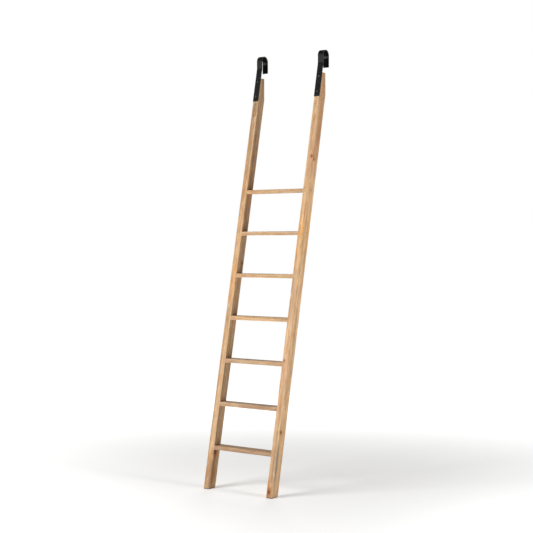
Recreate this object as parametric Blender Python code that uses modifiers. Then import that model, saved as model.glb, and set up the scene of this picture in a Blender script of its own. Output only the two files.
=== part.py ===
"""Library ladder: two leaning stringers, seven level treads and two iron hooks.

The ladder stands as it is used. It leans back towards the rail that it hooks over, and its feet
are cut level on the floor. X runs across the ladder, +Y goes back towards the rail and +Z is up.
The origin is on the floor, in the middle of the ladder's outer box. All sizes are in metres.
"""

from math import cos, pi, radians, sin, tan

import bmesh
import bpy
from mathutils import Euler, Matrix, Vector

# The whole ladder
LEAN = radians(12.5)             # from the vertical
OUTER_WIDTH = 0.485
GAP = 0.0003                     # between pieces that touch
EASED_EDGE = 0.0018              # radius of the sanded timber edges
BROKEN_EDGE = 0.0006             # chamfer of the iron and rubber edges

# Stringers
STRINGER_WIDTH = 0.040           # across the ladder
STRINGER_DEPTH = 0.0600          # square to the slope
TIMBER_TOP = 2.438               # level end of the stringers
PLUMB_FACE = 0.573               # upright back face at the top, behind the front edge of the feet

# Treads
RUNG_COUNT = 7
RUNG_PITCH = 0.250
FIRST_RUNG_TOP = 0.248
RUNG_THICKNESS = 0.0235
TENON_LENGTH = 0.012
TENON_DEPTH = 0.036              # front to back
TENON_HEIGHT = 0.014
RUNG_TONES = (0.97, 0.94, 0.98, 1.06, 1.00, 0.99, 1.02)     # of the pine, from the lowest tread up

# Screws through the stringers into the treads, and the plugs over them
SCREW_RADIUS = 0.0020
SCREW_HEAD_RADIUS = 0.0045
SCREW_HEAD_HEIGHT = 0.0035
SCREW_LENGTH = 0.050             # under the head
SCREW_POINT = 0.006              # length of the tapered point
COUNTERBORE_RADIUS = 0.0053
COUNTERBORE_DEPTH = 0.0120
PLUG_RADIUS = 0.0050
PLUG_CHAMFER = 0.0006            # at the hidden end
ROUND_SIDES = 12

# Hooks: flat iron, bent once at the top of the slope and once over the rail
STRAP_WIDTH = 0.038
STRAP_THICKNESS = 0.005
STRAP_END = 2.2955               # height of the strap's lower end
HOOK_FACE = 0.549                # upright front face, behind the front edge of the feet
HOOK_RADIUS = 0.0325             # outside of the bend over the rail
HOOK_TOP = 2.5765
HOOK_TIP = 2.475                 # height of the back leg's end
KNEE_RADIUS = 0.020              # middle of the strap, where the slope turns upright
KNEE_STEPS = 3
BEND_STEPS = 20

# Screws of the hooks
HOOK_SCREW_HEIGHTS = {"upper": 2.417, "lower": 2.326}
HOOK_SCREW_RADIUS = 0.0030
HOOK_SCREW_LENGTH = 0.034        # under the head
HOOK_SCREW_POINT = 0.007
DOME_RADIUS = 0.0065
DOME_HEIGHT = 0.0036
DOME_RIM = 0.0008                # upright edge under the dome
DOME_STEPS = 5
DOME_SIDES = 16
SOCKET_RADIUS = 0.0024
SOCKET_DEPTH = 0.0022

# Foot pads
PAD_THICKNESS = 0.003
PAD_INSET = 0.001

# Sizes worked out from the ones above
LEVEL_DEPTH = STRINGER_DEPTH / cos(LEAN)
INNER_HALF = OUTER_WIDTH / 2 - STRINGER_WIDTH
STRINGER_X = (OUTER_WIDTH - STRINGER_WIDTH) / 2
FRONT_EDGE = -(PAD_INSET + HOOK_FACE + 2 * HOOK_RADIUS) / 2
SIDES = {"left": -1, "right": 1}

# Colour, roughness and metallic value of each finish
FINISHES = {
    "pine": ((0.60, 0.40, 0.24), 0.62, 0.0),
    "plug": ((0.53, 0.35, 0.21), 0.60, 0.0),
    "iron": ((0.022, 0.021, 0.021), 0.48, 0.0),
    "steel": ((0.62, 0.62, 0.64), 0.35, 1.0),
    "rubber": ((0.035, 0.032, 0.030), 0.85, 0.0),
}


def clear_scene():
    """Remove every object that is in the scene."""
    for obj in list(bpy.data.objects):
        bpy.data.objects.remove(obj, do_unlink=True)


def new_collection(name):
    """Make a collection in the scene."""
    collection = bpy.data.collections.new(name)
    bpy.context.scene.collection.children.link(collection)
    return collection


def add_object(name, mesh, collection, finish=None, tone=1.0):
    """Put a mesh in a collection, with a material of its own where it has a finish."""
    obj = bpy.data.objects.new(name, mesh)
    collection.objects.link(obj)
    if finish:
        colour, roughness, metallic = FINISHES[finish]
        material = bpy.data.materials.new(f"{name}_{finish}")
        material.use_nodes = True
        shader = material.node_tree.nodes["Principled BSDF"]
        shader.inputs["Base Color"].default_value = (*[c * tone for c in colour], 1)
        shader.inputs["Roughness"].default_value = roughness
        shader.inputs["Metallic"].default_value = metallic
        mesh.materials.append(material)
    return obj


def add_bevel(obj, width, segments=2):
    """Round the sharp edges of an object."""
    bevel = obj.modifiers.new("eased_edges", "BEVEL")
    bevel.width = width
    bevel.segments = segments
    bevel.limit_method = "ANGLE"
    bevel.angle_limit = radians(35)


def add_boolean(obj, cutter, operation):
    """Cut or join an object with a helper solid."""
    boolean = obj.modifiers.new(cutter.name, "BOOLEAN")
    boolean.object = cutter
    boolean.operation = operation
    boolean.solver = "EXACT"


def make_helper(obj):
    """Show a helper solid as wires, so that it isn't taken for a piece."""
    obj.display_type = "WIRE"
    obj.hide_render = True
    return obj


def outline_mesh(name, points, thickness):
    """Extrude a flat outline: its first coordinate is Y, its second Z, and the thickness is along X."""
    curve = bpy.data.curves.new(name, "CURVE")
    curve.dimensions = "2D"
    curve.fill_mode = "BOTH"
    curve.extrude = thickness / 2
    spline = curve.splines.new("POLY")
    spline.points.add(len(points) - 1)
    for point, (y, z) in zip(spline.points, points):
        point.co = (y, z, 0, 1)
    spline.use_cyclic_u = True
    guide = bpy.data.objects.new(name, curve)
    bpy.context.scene.collection.objects.link(guide)
    bpy.context.view_layer.update()
    evaluated = guide.evaluated_get(bpy.context.evaluated_depsgraph_get())
    mesh = bpy.data.meshes.new_from_object(evaluated)
    bpy.data.objects.remove(guide)
    solid = bmesh.new()
    solid.from_mesh(mesh)
    bmesh.ops.remove_doubles(solid, verts=solid.verts, dist=0.00001)
    bmesh.ops.dissolve_limit(solid, angle_limit=radians(0.5), verts=solid.verts, edges=solid.edges)
    bmesh.ops.rotate(solid, verts=solid.verts, matrix=Euler((pi / 2, 0, pi / 2)).to_matrix())
    bmesh.ops.recalc_face_normals(solid, faces=solid.faces)
    return bmesh_to_mesh(name, solid)


def bmesh_to_mesh(name, solid):
    """Turn a bmesh into a mesh and free it."""
    mesh = bpy.data.meshes.new(name)
    solid.to_mesh(mesh)
    solid.free()
    return mesh


def smooth_mesh(name, solid):
    """Turn a bmesh into a mesh whose round faces are shaded smooth."""
    mesh = bmesh_to_mesh(name, solid)
    mesh.shade_smooth()
    mesh.set_sharp_from_angle(angle=radians(35))
    return mesh


def add_box(solid, centre, size):
    """Add a box to a bmesh."""
    matrix = Matrix.Translation(centre) @ Matrix.Diagonal((*size, 1))
    bmesh.ops.create_cube(solid, size=1, matrix=matrix)


def add_rod(solid, radius, start, end):
    """Add a round rod along X to a bmesh."""
    centre = (Vector(start) + Vector(end)) / 2
    matrix = Matrix.Translation(centre) @ Matrix.Rotation(pi / 2, 4, "Y")
    length = abs(end[0] - start[0])
    bmesh.ops.create_cone(solid, cap_ends=True, segments=ROUND_SIDES, radius1=radius,
                          radius2=radius, depth=length, matrix=matrix)


def add_turned(solid, profile, matrix, sides=ROUND_SIDES):
    """Add a turned solid to a bmesh: the profile runs from pole to pole as (radius, height)."""
    turned = bmesh.new()
    verts = [turned.verts.new((radius, 0, height)) for radius, height in profile]
    edges = [turned.edges.new(pair) for pair in zip(verts, verts[1:])]
    bmesh.ops.spin(turned, geom=verts + edges, cent=(0, 0, 0), axis=(0, 0, 1),
                   angle=2 * pi, steps=sides, use_merge=True)
    bmesh.ops.remove_doubles(turned, verts=turned.verts, dist=0.00001)
    bmesh.ops.recalc_face_normals(turned, faces=turned.faces)
    bmesh.ops.transform(turned, verts=turned.verts, matrix=matrix)
    mesh = bmesh_to_mesh("turned", turned)
    solid.from_mesh(mesh)
    bpy.data.meshes.remove(mesh)


def rung_centre(number):
    """Middle of a tread's section, as Y and Z: tread 1 is the lowest."""
    height = FIRST_RUNG_TOP + (number - 1) * RUNG_PITCH - RUNG_THICKNESS / 2
    return FRONT_EDGE + height * tan(LEAN) + LEVEL_DEPTH / 2, height


def mortise_cutter(side):
    """Blind mortises for the treads' stub tenons, in the inner face of one stringer."""
    solid = bmesh.new()
    overrun = 0.002
    depth = TENON_LENGTH + GAP
    for number in range(1, RUNG_COUNT + 1):
        centre = (SIDES[side] * (INNER_HALF + (depth - overrun) / 2), *rung_centre(number))
        add_box(solid, centre, (depth + overrun, TENON_DEPTH + 2 * GAP, TENON_HEIGHT + 2 * GAP))
    return bmesh_to_mesh(f"{side}_mortises", solid)


def screw_hole_cutter(side):
    """Clearance holes from the counterbores to the mortises of one stringer."""
    solid = bmesh.new()
    overrun = 0.001
    inner = SIDES[side] * (INNER_HALF + TENON_LENGTH - overrun)
    outer = SIDES[side] * (OUTER_WIDTH / 2 - COUNTERBORE_DEPTH + overrun)
    for number in range(1, RUNG_COUNT + 1):
        y, z = rung_centre(number)
        add_rod(solid, SCREW_RADIUS + GAP, (inner, y, z), (outer, y, z))
    return bmesh_to_mesh(f"{side}_screw_holes", solid)


def counterbore_cutter(side):
    """Counterbores for the screw heads and plugs, in the outer face of one stringer."""
    solid = bmesh.new()
    overrun = 0.002
    inner = SIDES[side] * (OUTER_WIDTH / 2 - COUNTERBORE_DEPTH)
    outer = SIDES[side] * (OUTER_WIDTH / 2 + overrun)
    for number in range(1, RUNG_COUNT + 1):
        y, z = rung_centre(number)
        add_rod(solid, COUNTERBORE_RADIUS, (inner, y, z), (outer, y, z))
    return bmesh_to_mesh(f"{side}_counterbores", solid)


def strap_normal():
    """Direction that the stringers' front faces look in."""
    return Vector((0, -cos(LEAN), sin(LEAN)))


def hook_screw_matrix(side, height):
    """Place of a hook screw: the origin is on the strap's front face and +Z points out of it."""
    foot = Vector((SIDES[side] * STRINGER_X, FRONT_EDGE + height * tan(LEAN), height))
    origin = foot + strap_normal() * (GAP + STRAP_THICKNESS)
    return Matrix.Translation(origin) @ Matrix.Rotation(pi / 2 - LEAN, 4, "X")


def hook_hole_cutter(side):
    """Holes for the hook screws, through the strap and into the stringer."""
    solid = bmesh.new()
    top = 0.003
    bottom = -(HOOK_SCREW_LENGTH + GAP)
    radius = HOOK_SCREW_RADIUS + GAP
    for height in HOOK_SCREW_HEIGHTS.values():
        matrix = hook_screw_matrix(side, height) @ Matrix.Translation((0, 0, (top + bottom) / 2))
        bmesh.ops.create_cone(solid, cap_ends=True, segments=ROUND_SIDES, radius1=radius,
                              radius2=radius, depth=top - bottom, matrix=matrix)
    return bmesh_to_mesh(f"{side}_hook_holes", solid)


def stringer_outline():
    """Side view of a stringer: level foot, sloping faces, upright back at the top, level end."""
    foot = PAD_THICKNESS + GAP
    kink = (PLUMB_FACE - LEVEL_DEPTH) / tan(LEAN)
    return [
        (foot * tan(LEAN), foot),
        (foot * tan(LEAN) + LEVEL_DEPTH, foot),
        (PLUMB_FACE, kink),
        (PLUMB_FACE, TIMBER_TOP),
        (TIMBER_TOP * tan(LEAN), TIMBER_TOP),
    ]


def make_stringer(side, parts, helpers):
    """One stringer, with mortises inside, counterbores outside and holes for its hook."""
    name = f"{side}_stringer"
    mesh = outline_mesh(name, stringer_outline(), STRINGER_WIDTH)
    obj = add_object(name, mesh, parts, "pine")
    obj.location = (SIDES[side] * STRINGER_X, FRONT_EDGE, 0)
    add_bevel(obj, EASED_EDGE)
    makers = (mortise_cutter, screw_hole_cutter, counterbore_cutter, hook_hole_cutter)
    for maker in makers:
        mesh = maker(side)
        cutter = make_helper(add_object(mesh.name, mesh, helpers))
        add_boolean(obj, cutter, "DIFFERENCE")
    return obj


def rung_outline():
    """Side view of a tread about its middle: level top and bottom, front and back on the slope."""
    rise = RUNG_THICKNESS / 2
    shift = rise * tan(LEAN)
    half = LEVEL_DEPTH / 2
    return [(-half - shift, -rise), (half - shift, -rise), (half + shift, rise), (-half + shift, rise)]


def pilot_cutter(number):
    """Pilot holes in both ends of a tread."""
    solid = bmesh.new()
    overrun = 0.002
    head_face = OUTER_WIDTH / 2 - COUNTERBORE_DEPTH
    y, z = rung_centre(number)
    for side in SIDES.values():
        outer = side * (INNER_HALF + TENON_LENGTH + overrun)
        inner = side * (head_face - SCREW_LENGTH - GAP)
        add_rod(solid, SCREW_RADIUS + GAP, (inner, y, z), (outer, y, z))
    return bmesh_to_mesh(f"rung_{number}_pilot_holes", solid)


def make_rung(number, parts, helpers):
    """One level tread with a stub tenon at each end."""
    name = f"rung_{number}"
    mesh = outline_mesh(name, rung_outline(), 2 * (INNER_HALF - GAP))
    obj = add_object(name, mesh, parts, "pine", RUNG_TONES[number - 1])
    obj.location = (0, *rung_centre(number))
    add_bevel(obj, EASED_EDGE)
    solid = bmesh.new()
    add_box(solid, (0, *rung_centre(number)),
            (2 * (INNER_HALF + TENON_LENGTH), TENON_DEPTH, TENON_HEIGHT))
    bar = bmesh_to_mesh(f"rung_{number}_tenon_bar", solid)
    add_boolean(obj, make_helper(add_object(bar.name, bar, helpers)), "UNION")
    holes = pilot_cutter(number)
    add_boolean(obj, make_helper(add_object(holes.name, holes, helpers)), "DIFFERENCE")
    return obj


def rung_screw_profile():
    """Countersunk wood screw about +Z: the head's flat top is at 0 and the point is below."""
    neck = SCREW_HEAD_HEIGHT
    tip = SCREW_HEAD_HEIGHT + SCREW_LENGTH - GAP
    return [
        (0, 0),
        (SCREW_HEAD_RADIUS, 0),
        (SCREW_HEAD_RADIUS, -neck * 0.55),
        (SCREW_RADIUS, -neck),
        (SCREW_RADIUS, -tip + SCREW_POINT),
        (0, -tip),
    ]


def plug_profile():
    """Wooden plug about +Z: its face is at 0, with a small chamfer at the hidden end."""
    length = COUNTERBORE_DEPTH - SCREW_HEAD_HEIGHT - 3 * GAP
    return [
        (0, 0),
        (PLUG_RADIUS, 0),
        (PLUG_RADIUS, -length + PLUG_CHAMFER),
        (PLUG_RADIUS - PLUG_CHAMFER, -length),
        (0, -length),
    ]


def make_rung_fastener(number, side, kind, parts):
    """The screw at one end of a tread, or the plug that covers it flush with the stringer."""
    name = f"rung_{number}_{side}_{kind}"
    profiles = {"screw": rung_screw_profile, "plug": plug_profile}
    finishes = {"screw": "steel", "plug": "plug"}
    head_top = OUTER_WIDTH / 2 - COUNTERBORE_DEPTH + SCREW_HEAD_HEIGHT + GAP
    faces = {"screw": head_top, "plug": OUTER_WIDTH / 2}
    solid = bmesh.new()
    add_turned(solid, profiles[kind](), Matrix.Identity(4))
    obj = add_object(name, smooth_mesh(name, solid), parts, finishes[kind])
    obj.location = (SIDES[side] * faces[kind], *rung_centre(number))
    obj.rotation_euler = (0, SIDES[side] * pi / 2, 0)
    return obj


def arc(centre, radius, start, end, steps):
    """Points on an arc in side view, as (y, z, angle of the strap's outer side).

    With a negative radius the strap's outer side faces the centre of the arc.
    """
    angles = [start + (end - start) * step / steps for step in range(steps + 1)]
    return [(centre[0] + radius * cos(a), centre[1] + radius * sin(a), a) for a in angles]


def strap_path():
    """Middle of the strap in side view, as (y, z, angle of its outer side), from the lower end."""
    half = STRAP_THICKNESS / 2
    slope_side = pi - LEAN
    stand_off = (GAP + half) / cos(LEAN)
    upright = HOOK_FACE + half
    corner = (upright + stand_off) / tan(LEAN)
    knee_top = corner + KNEE_RADIUS * tan(LEAN / 2)
    knee = arc((upright - KNEE_RADIUS, knee_top), -KNEE_RADIUS, slope_side, pi, KNEE_STEPS)
    bend_radius = HOOK_RADIUS - half
    bend = arc((upright + bend_radius, HOOK_TOP - HOOK_RADIUS), bend_radius, pi, 0, BEND_STEPS)
    start = (STRAP_END * tan(LEAN) - stand_off, STRAP_END, slope_side)
    tip = (upright + 2 * bend_radius, HOOK_TIP, 0)
    return [start, *knee, *bend, tip]


def strap_outline():
    """Side view of the bent strap: out along its outer side and back along its inner side."""
    half = STRAP_THICKNESS / 2
    path = strap_path()
    outer = [(y + half * cos(a), z + half * sin(a)) for y, z, a in path]
    inner = [(y - half * cos(a), z - half * sin(a)) for y, z, a in path]
    return outer + inner[::-1]


def make_hook(side, parts, helpers):
    """One bent iron hook."""
    name = f"{side}_hook"
    mesh = outline_mesh(name, strap_outline(), STRAP_WIDTH)
    obj = add_object(name, mesh, parts, "iron")
    obj.location = (SIDES[side] * STRINGER_X, FRONT_EDGE, 0)
    add_bevel(obj, BROKEN_EDGE, 1)
    add_boolean(obj, helpers.objects[f"{side}_hook_holes"], "DIFFERENCE")
    return obj


def hook_screw_profile():
    """Dome-head screw about +Z: the head stands on 0 and the point is below."""
    rim = GAP + DOME_RIM
    angles = [step * pi / 2 / DOME_STEPS for step in range(DOME_STEPS + 1)]
    dome = [(DOME_RADIUS * sin(a), rim + (GAP + DOME_HEIGHT - rim) * cos(a)) for a in angles]
    tip = HOOK_SCREW_LENGTH
    return dome + [
        (DOME_RADIUS, GAP),
        (HOOK_SCREW_RADIUS, GAP),
        (HOOK_SCREW_RADIUS, -tip + HOOK_SCREW_POINT),
        (0, -tip),
    ]


def make_hook_screw(side, level, parts, helpers):
    """One dome-head screw with a six-sided socket."""
    name = f"{side}_hook_{level}_screw"
    solid = bmesh.new()
    add_turned(solid, hook_screw_profile(), Matrix.Identity(4), DOME_SIDES)
    obj = add_object(name, smooth_mesh(name, solid), parts, "iron")
    place = hook_screw_matrix(side, HOOK_SCREW_HEIGHTS[level])
    obj.location = place.to_translation()
    obj.rotation_euler = place.to_euler()
    solid = bmesh.new()
    overrun = 0.002
    middle = GAP + DOME_HEIGHT + (overrun - SOCKET_DEPTH) / 2
    bmesh.ops.create_cone(solid, cap_ends=True, segments=6, radius1=SOCKET_RADIUS,
                          radius2=SOCKET_RADIUS, depth=SOCKET_DEPTH + overrun,
                          matrix=Matrix.Translation((0, 0, middle)))
    socket = bmesh_to_mesh(f"{name}_socket", solid)
    cutter = make_helper(add_object(socket.name, socket, helpers))
    cutter.location = obj.location
    cutter.rotation_euler = obj.rotation_euler
    add_boolean(obj, cutter, "DIFFERENCE")
    return obj


def make_foot_pad(side, parts):
    """One thin rubber pad under a stringer's level foot."""
    name = f"{side}_foot_pad"
    solid = bmesh.new()
    size = (STRINGER_WIDTH - 2 * PAD_INSET, LEVEL_DEPTH - 2 * PAD_INSET, PAD_THICKNESS)
    add_box(solid, (0, 0, 0), size)
    obj = add_object(name, bmesh_to_mesh(name, solid), parts, "rubber")
    obj.location = (SIDES[side] * STRINGER_X, FRONT_EDGE + LEVEL_DEPTH / 2, PAD_THICKNESS / 2)
    add_bevel(obj, BROKEN_EDGE, 1)
    return obj


def main():
    """Build the ladder."""
    clear_scene()
    parts = new_collection("library_ladder")
    helpers = new_collection("cutters")
    pieces = []
    for side in SIDES:
        pieces.append(make_stringer(side, parts, helpers))
        pieces.append(make_hook(side, parts, helpers))
        pieces.append(make_foot_pad(side, parts))
        for level in HOOK_SCREW_HEIGHTS:
            pieces.append(make_hook_screw(side, level, parts, helpers))
    for number in range(1, RUNG_COUNT + 1):
        pieces.append(make_rung(number, parts, helpers))
        for side in SIDES:
            pieces.append(make_rung_fastener(number, side, "screw", parts))
            pieces.append(make_rung_fastener(number, side, "plug", parts))
    ladder = bpy.data.objects.new("ladder", None)
    parts.objects.link(ladder)
    for piece in pieces:
        piece.parent = ladder


main()
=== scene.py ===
"""Looks of the library ladder: pine stringers and treads, black iron hooks, screws and rubber pads."""

from math import atan, cos, exp, pi, radians, sin, sqrt, tan

import bmesh
import bpy
from mathutils import Matrix, Vector, noise


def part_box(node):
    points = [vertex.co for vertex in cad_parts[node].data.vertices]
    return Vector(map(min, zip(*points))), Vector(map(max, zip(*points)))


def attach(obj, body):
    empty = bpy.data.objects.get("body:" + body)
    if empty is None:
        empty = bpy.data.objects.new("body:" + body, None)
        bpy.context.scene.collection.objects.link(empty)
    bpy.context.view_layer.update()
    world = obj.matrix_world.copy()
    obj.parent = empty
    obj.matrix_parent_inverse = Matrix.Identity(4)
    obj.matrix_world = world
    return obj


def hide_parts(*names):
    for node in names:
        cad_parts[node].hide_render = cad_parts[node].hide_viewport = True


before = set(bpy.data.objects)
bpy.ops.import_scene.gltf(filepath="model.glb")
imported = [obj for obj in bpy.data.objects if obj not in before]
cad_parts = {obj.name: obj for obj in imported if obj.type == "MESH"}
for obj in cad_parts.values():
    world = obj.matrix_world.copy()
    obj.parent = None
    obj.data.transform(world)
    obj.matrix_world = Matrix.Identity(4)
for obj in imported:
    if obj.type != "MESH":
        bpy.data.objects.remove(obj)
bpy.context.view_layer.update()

# Sizes that the frame gives
SIDES = {"left": -1, "right": 1}
RUNGS = sorted(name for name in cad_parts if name.startswith("rung_") and name.count("_") == 1)


def middle(node):
    """Middle of a node's box."""
    low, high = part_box(node)
    return (Vector(low) + Vector(high)) / 2


def extent(node):
    """Size of a node's box."""
    low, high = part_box(node)
    return Vector(high) - Vector(low)


LOWEST, HIGHEST = middle(RUNGS[0]), middle(RUNGS[-1])
SLOPE = (HIGHEST.y - LOWEST.y) / (HIGHEST.z - LOWEST.z)
LEAN = atan(SLOPE)
RUNG_THICKNESS = extent(RUNGS[0]).z
LEVEL_DEPTH = extent(RUNGS[0]).y - RUNG_THICKNESS * SLOPE
OUTER_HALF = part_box("right_stringer")[1][0]
STRINGER_WIDTH = extent("right_stringer").x
INNER_HALF = OUTER_HALF - STRINGER_WIDTH
STRINGER_X = OUTER_HALF - STRINGER_WIDTH / 2
TENON_END = extent(RUNGS[0]).x / 2

# Sizes of the joints, as the solids have them
GAP = 0.0003                     # between pieces that touch
TENON_DEPTH = 0.036              # front to back
TENON_HEIGHT = 0.014
TENON_CHAMFER = 0.0008
COUNTERBORE_DEPTH = 0.012
SCREW_HOLE = 0.0023              # radius, as are the two below
HOOK_SCREW_HOLE = 0.0033
HOOK_SCREW_RADIUS = 0.003
HOOK_SCREW_LENGTH = 0.034        # from the strap's face to the point
HOOK_SCREW_DEPTH = 0.0345        # of its hole
HOOK_SCREW_SHANK = 0.027         # down to the tapered point
DOME_HEIGHT = 0.0036
DOME_RIM = 0.0007                # upright edge under the dome
SOCKET_RADIUS = 0.0024
SOCKET_DEPTH = 0.0019
STRAP_THICKNESS = 0.005
HOOK_RADIUS = 0.0325             # outside of the bend over the rail
KNEE_RADIUS = 0.020              # middle of the strap, where the slope turns upright
PLUG_CLEARANCE = 0.0001
PLUG_RIM = 0.0002                # softened edge of the face
PLUG_CHAMFER = 0.0008            # at the hidden end
OVERRUN = 0.001                  # of the cutting solids, past the timber

# Rounded ends and edges, and the spacing of the sections
STRINGER_END = 0.0016
STRINGER_SPACING = 0.005
KINK_SOFTNESS = 0.003
RUNG_END = 0.0008
RUNG_SPACING = 0.008
STRAP_END = 0.0009
STRAP_EDGE = 0.0007
STRAP_STEPS = 44
KNEE_STEPS = 6
LEG_STEPS = 9
BEND_STEPS = 40
TIP_STEPS = 12
PAD_EDGE = 0.0005
PAD_CORNER = 0.0025

# Camera and light
CAMERA_PLACE = (3.963, -5.634, 1.457)
CAMERA_AZIMUTH = 35.15           # degrees, as are the two below
CAMERA_ELEVATION = 1.383
CAMERA_ROLL = -0.185
CAMERA_LENS = 78.9               # mm on a 36 mm sensor
SKY_LIGHT = 0.12                 # of the white that the camera sees
FLOOR_GLOW = (0.30, 0.90)        # under the ladder and far away; dimmer under the ladder, partly as painted shade
FLOOR_GLOW_REACH = (0.5, 3.6)    # distances where the change starts and ends
KEY_POWER = 94                   # watts, as are the two below
STRIP_POWER = 30.5
BACK_POWER = 30


def srgb(red, green, blue):
    """Linear colour of a display colour from 0 to 255."""
    def linear(value):
        value /= 255
        return value / 12.92 if value <= 0.04045 else ((value + 0.055) / 1.055) ** 2.4
    return (linear(red), linear(green), linear(blue), 1)


# ---------------------------------------------------------------- materials

class Shader:
    """One material with short ways to add nodes to it."""

    def __init__(self, name):
        self.material = bpy.data.materials.new(name)
        self.material.use_nodes = True
        self.tree = self.material.node_tree
        self.surface = self.tree.nodes["Principled BSDF"]

    def feed(self, socket, value):
        """Give a socket a link or a fixed value."""
        if isinstance(value, bpy.types.NodeSocket):
            self.tree.links.new(value, socket)
        else:
            socket.default_value = value

    def node(self, kind, inputs, **settings):
        """Add a node, set its properties and feed its inputs."""
        node = self.tree.nodes.new("ShaderNode" + kind)
        for name, value in settings.items():
            setattr(node, name, value)
        for name, value in inputs.items():
            self.feed(node.inputs[name], value)
        return node

    def math(self, operation, *values):
        """Result of a math node."""
        return self.node("Math", dict(enumerate(values)), operation=operation).outputs[0]

    def total(self, *values):
        """Sum of several values."""
        result = values[0]
        for value in values[1:]:
            result = self.math("ADD", result, value)
        return result

    def length(self, first, second):
        """Length of a flat vector."""
        squares = [self.math("MULTIPLY", value, value) for value in (first, second)]
        return self.math("SQRT", self.math("ADD", *squares))

    def scaled(self, vector, scale, offset=(0, 0, 0)):
        """A vector stretched along its axes and moved."""
        inputs = {"Vector": vector, "Scale": scale, "Location": offset}
        return self.node("Mapping", inputs).outputs[0]

    def noise(self, vector, scale, offset=(0, 0, 0), detail=2.0, roughness=0.5):
        """Noise with its own scale along each axis, from 0 to 1."""
        inputs = {"Vector": self.scaled(vector, scale, offset), "Scale": 1.0, "Detail": detail,
                  "Roughness": roughness}
        return self.node("TexNoise", inputs).outputs[0]

    def step(self, value, low, high, to_low=0.0, to_high=1.0):
        """Smooth step of a value."""
        inputs = {"Value": value, "From Min": low, "From Max": high, "To Min": to_low, "To Max": to_high}
        return self.node("MapRange", inputs, interpolation_type="SMOOTHSTEP").outputs[0]

    def mix(self, factor, first, second, blend="MIX"):
        """Mix of two colours."""
        node = self.node("Mix", {0: factor, 6: first, 7: second}, data_type="RGBA", blend_type=blend)
        return node.outputs[2]

    def attribute(self, name):
        """A value stored on the mesh."""
        return self.node("Attribute", {}, attribute_name=name).outputs["Fac"]


# Pine colours
EARLYWOOD = srgb(214, 183, 147)
MIDWOOD = srgb(189, 152, 112)
LATEWOOD = srgb(156, 113, 75)
EYE_LINE = srgb(122, 82, 54)
HONEY = srgb(203, 150, 92)
PINKISH = srgb(178, 136, 107)
GREYED = srgb(138, 121, 106)
# brown of the wood near the feet, also used as painted shade high on the left inner side and for a darker
# top on the right outer side
BROWN_AND_PAINTED_SHADE = srgb(150, 104, 72)
AMBER = srgb(214, 158, 84)
KNOT_HALO = srgb(150, 100, 60)
KNOT_HEART = srgb(140, 86, 48)
KNOT_DARK = srgb(70, 40, 23)
BARK = srgb(52, 31, 20)
WORN_EDGE = srgb(214, 184, 148)

RING_SPACING = 0.0034


def knot_field(shader, across, depth, along, knot):
    """What a knot does to the grain: how far it moves it aside in both directions, how far it pushes
    the rings out, and the distance from the knot's middle in its own radii.

    The knot is a branch that runs out through (x, y, z) at a heading in degrees from +X.
    """
    place_x, place_y, place_z, radius, heading = knot
    out_x, out_y = cos(radians(heading)), sin(radians(heading))
    from_x, from_y = shader.math("ADD", across, -place_x), shader.math("ADD", depth, -place_y)
    side = shader.math("SUBTRACT", shader.math("MULTIPLY", from_x, out_y),
                       shader.math("MULTIPLY", from_y, out_x))
    outward = shader.total(shader.math("MULTIPLY", from_x, out_x), shader.math("MULTIPLY", from_y, out_y))
    inside = shader.step(outward, -0.024, -0.014)
    rise = shader.math("ADD", along, -place_z)
    reach = shader.length(side, shader.math("MULTIPLY", rise, 0.36))
    share = shader.math("DIVIDE", reach, radius * 2.0)
    falloff = shader.math("MULTIPLY", shader.math("POWER", share, 2.0), -1.0)
    swell = shader.math("MULTIPLY", shader.math("EXPONENT", falloff), inside)
    aside = shader.math("MULTIPLY", shader.math("MULTIPLY", side, swell), -0.92)
    moves = [shader.math("MULTIPLY", aside, out_y), shader.math("MULTIPLY", aside, -out_x)]
    distance = shader.math("DIVIDE", shader.length(side, shader.math("MULTIPLY", rise, 0.74)), radius)
    distance = shader.total(distance, 9.0, shader.math("MULTIPLY", inside, -9.0))
    return moves, shader.math("MULTIPLY", swell, radius * 0.8), distance


def streak_mask(shader, across, depth, along, band, streak):
    """Soft mask of a long patch: its ends along the grain, its middle and its half width."""
    low, high, (middle_x, middle_y), half_width = streak
    rise = shader.math("MULTIPLY", shader.step(along, low - 0.05, low + 0.05),
                       shader.step(along, high + 0.05, high - 0.05))
    away = shader.length(shader.math("ADD", across, -middle_x), shader.math("ADD", depth, -middle_y))
    ragged = shader.math("MULTIPLY_ADD", band, half_width, away)
    return shader.math("MULTIPLY", rise, shader.step(ragged, half_width * 1.9, half_width * 0.9))


def eye_figure(shader, across, depth, along, eye):
    """An eye in flat-sawn grain: how far it pushes the rings out, and its dark outline."""
    middle_x, middle_y, middle_z, half_width, half_length = eye
    aside = shader.length(shader.math("ADD", across, -middle_x), shader.math("ADD", depth, -middle_y))
    across_share = shader.math("DIVIDE", aside, half_width)
    along_share = shader.math("DIVIDE", shader.math("ADD", along, -middle_z), half_length)
    taper = shader.step(along_share, -1.0, 1.0, 0.75, 1.5)
    reach = shader.length(shader.math("MULTIPLY", across_share, taper), along_share)
    outline = shader.math("MULTIPLY", shader.step(reach, 0.58, 0.86), shader.step(reach, 1.30, 0.98))
    heart = shader.step(reach, 0.46, 0.14)
    swell = shader.math("EXPONENT", shader.math("MULTIPLY", shader.math("MULTIPLY", reach, reach), -1.0))
    return shader.math("MULTIPLY", swell, RING_SPACING * 1.5), shader.math("MAXIMUM", outline, heart)


def fleck_mask(shader, turned, seed):
    """A few small dark flecks, longer along the grain, in every hand's breadth of timber."""
    stretched = shader.scaled(turned, (42, 42, 15), (seed, seed, seed))
    cells = shader.node("TexVoronoi", {"Vector": stretched, "Scale": 1.0, "Randomness": 1.0})
    chosen = shader.node("SeparateColor", {0: cells.outputs["Color"]}).outputs[0]
    size = shader.step(chosen, 0.80, 1.0, 0.0, 0.085)
    return shader.step(shader.math("SUBTRACT", cells.outputs["Distance"], size), 0.0, -0.03)


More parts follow.
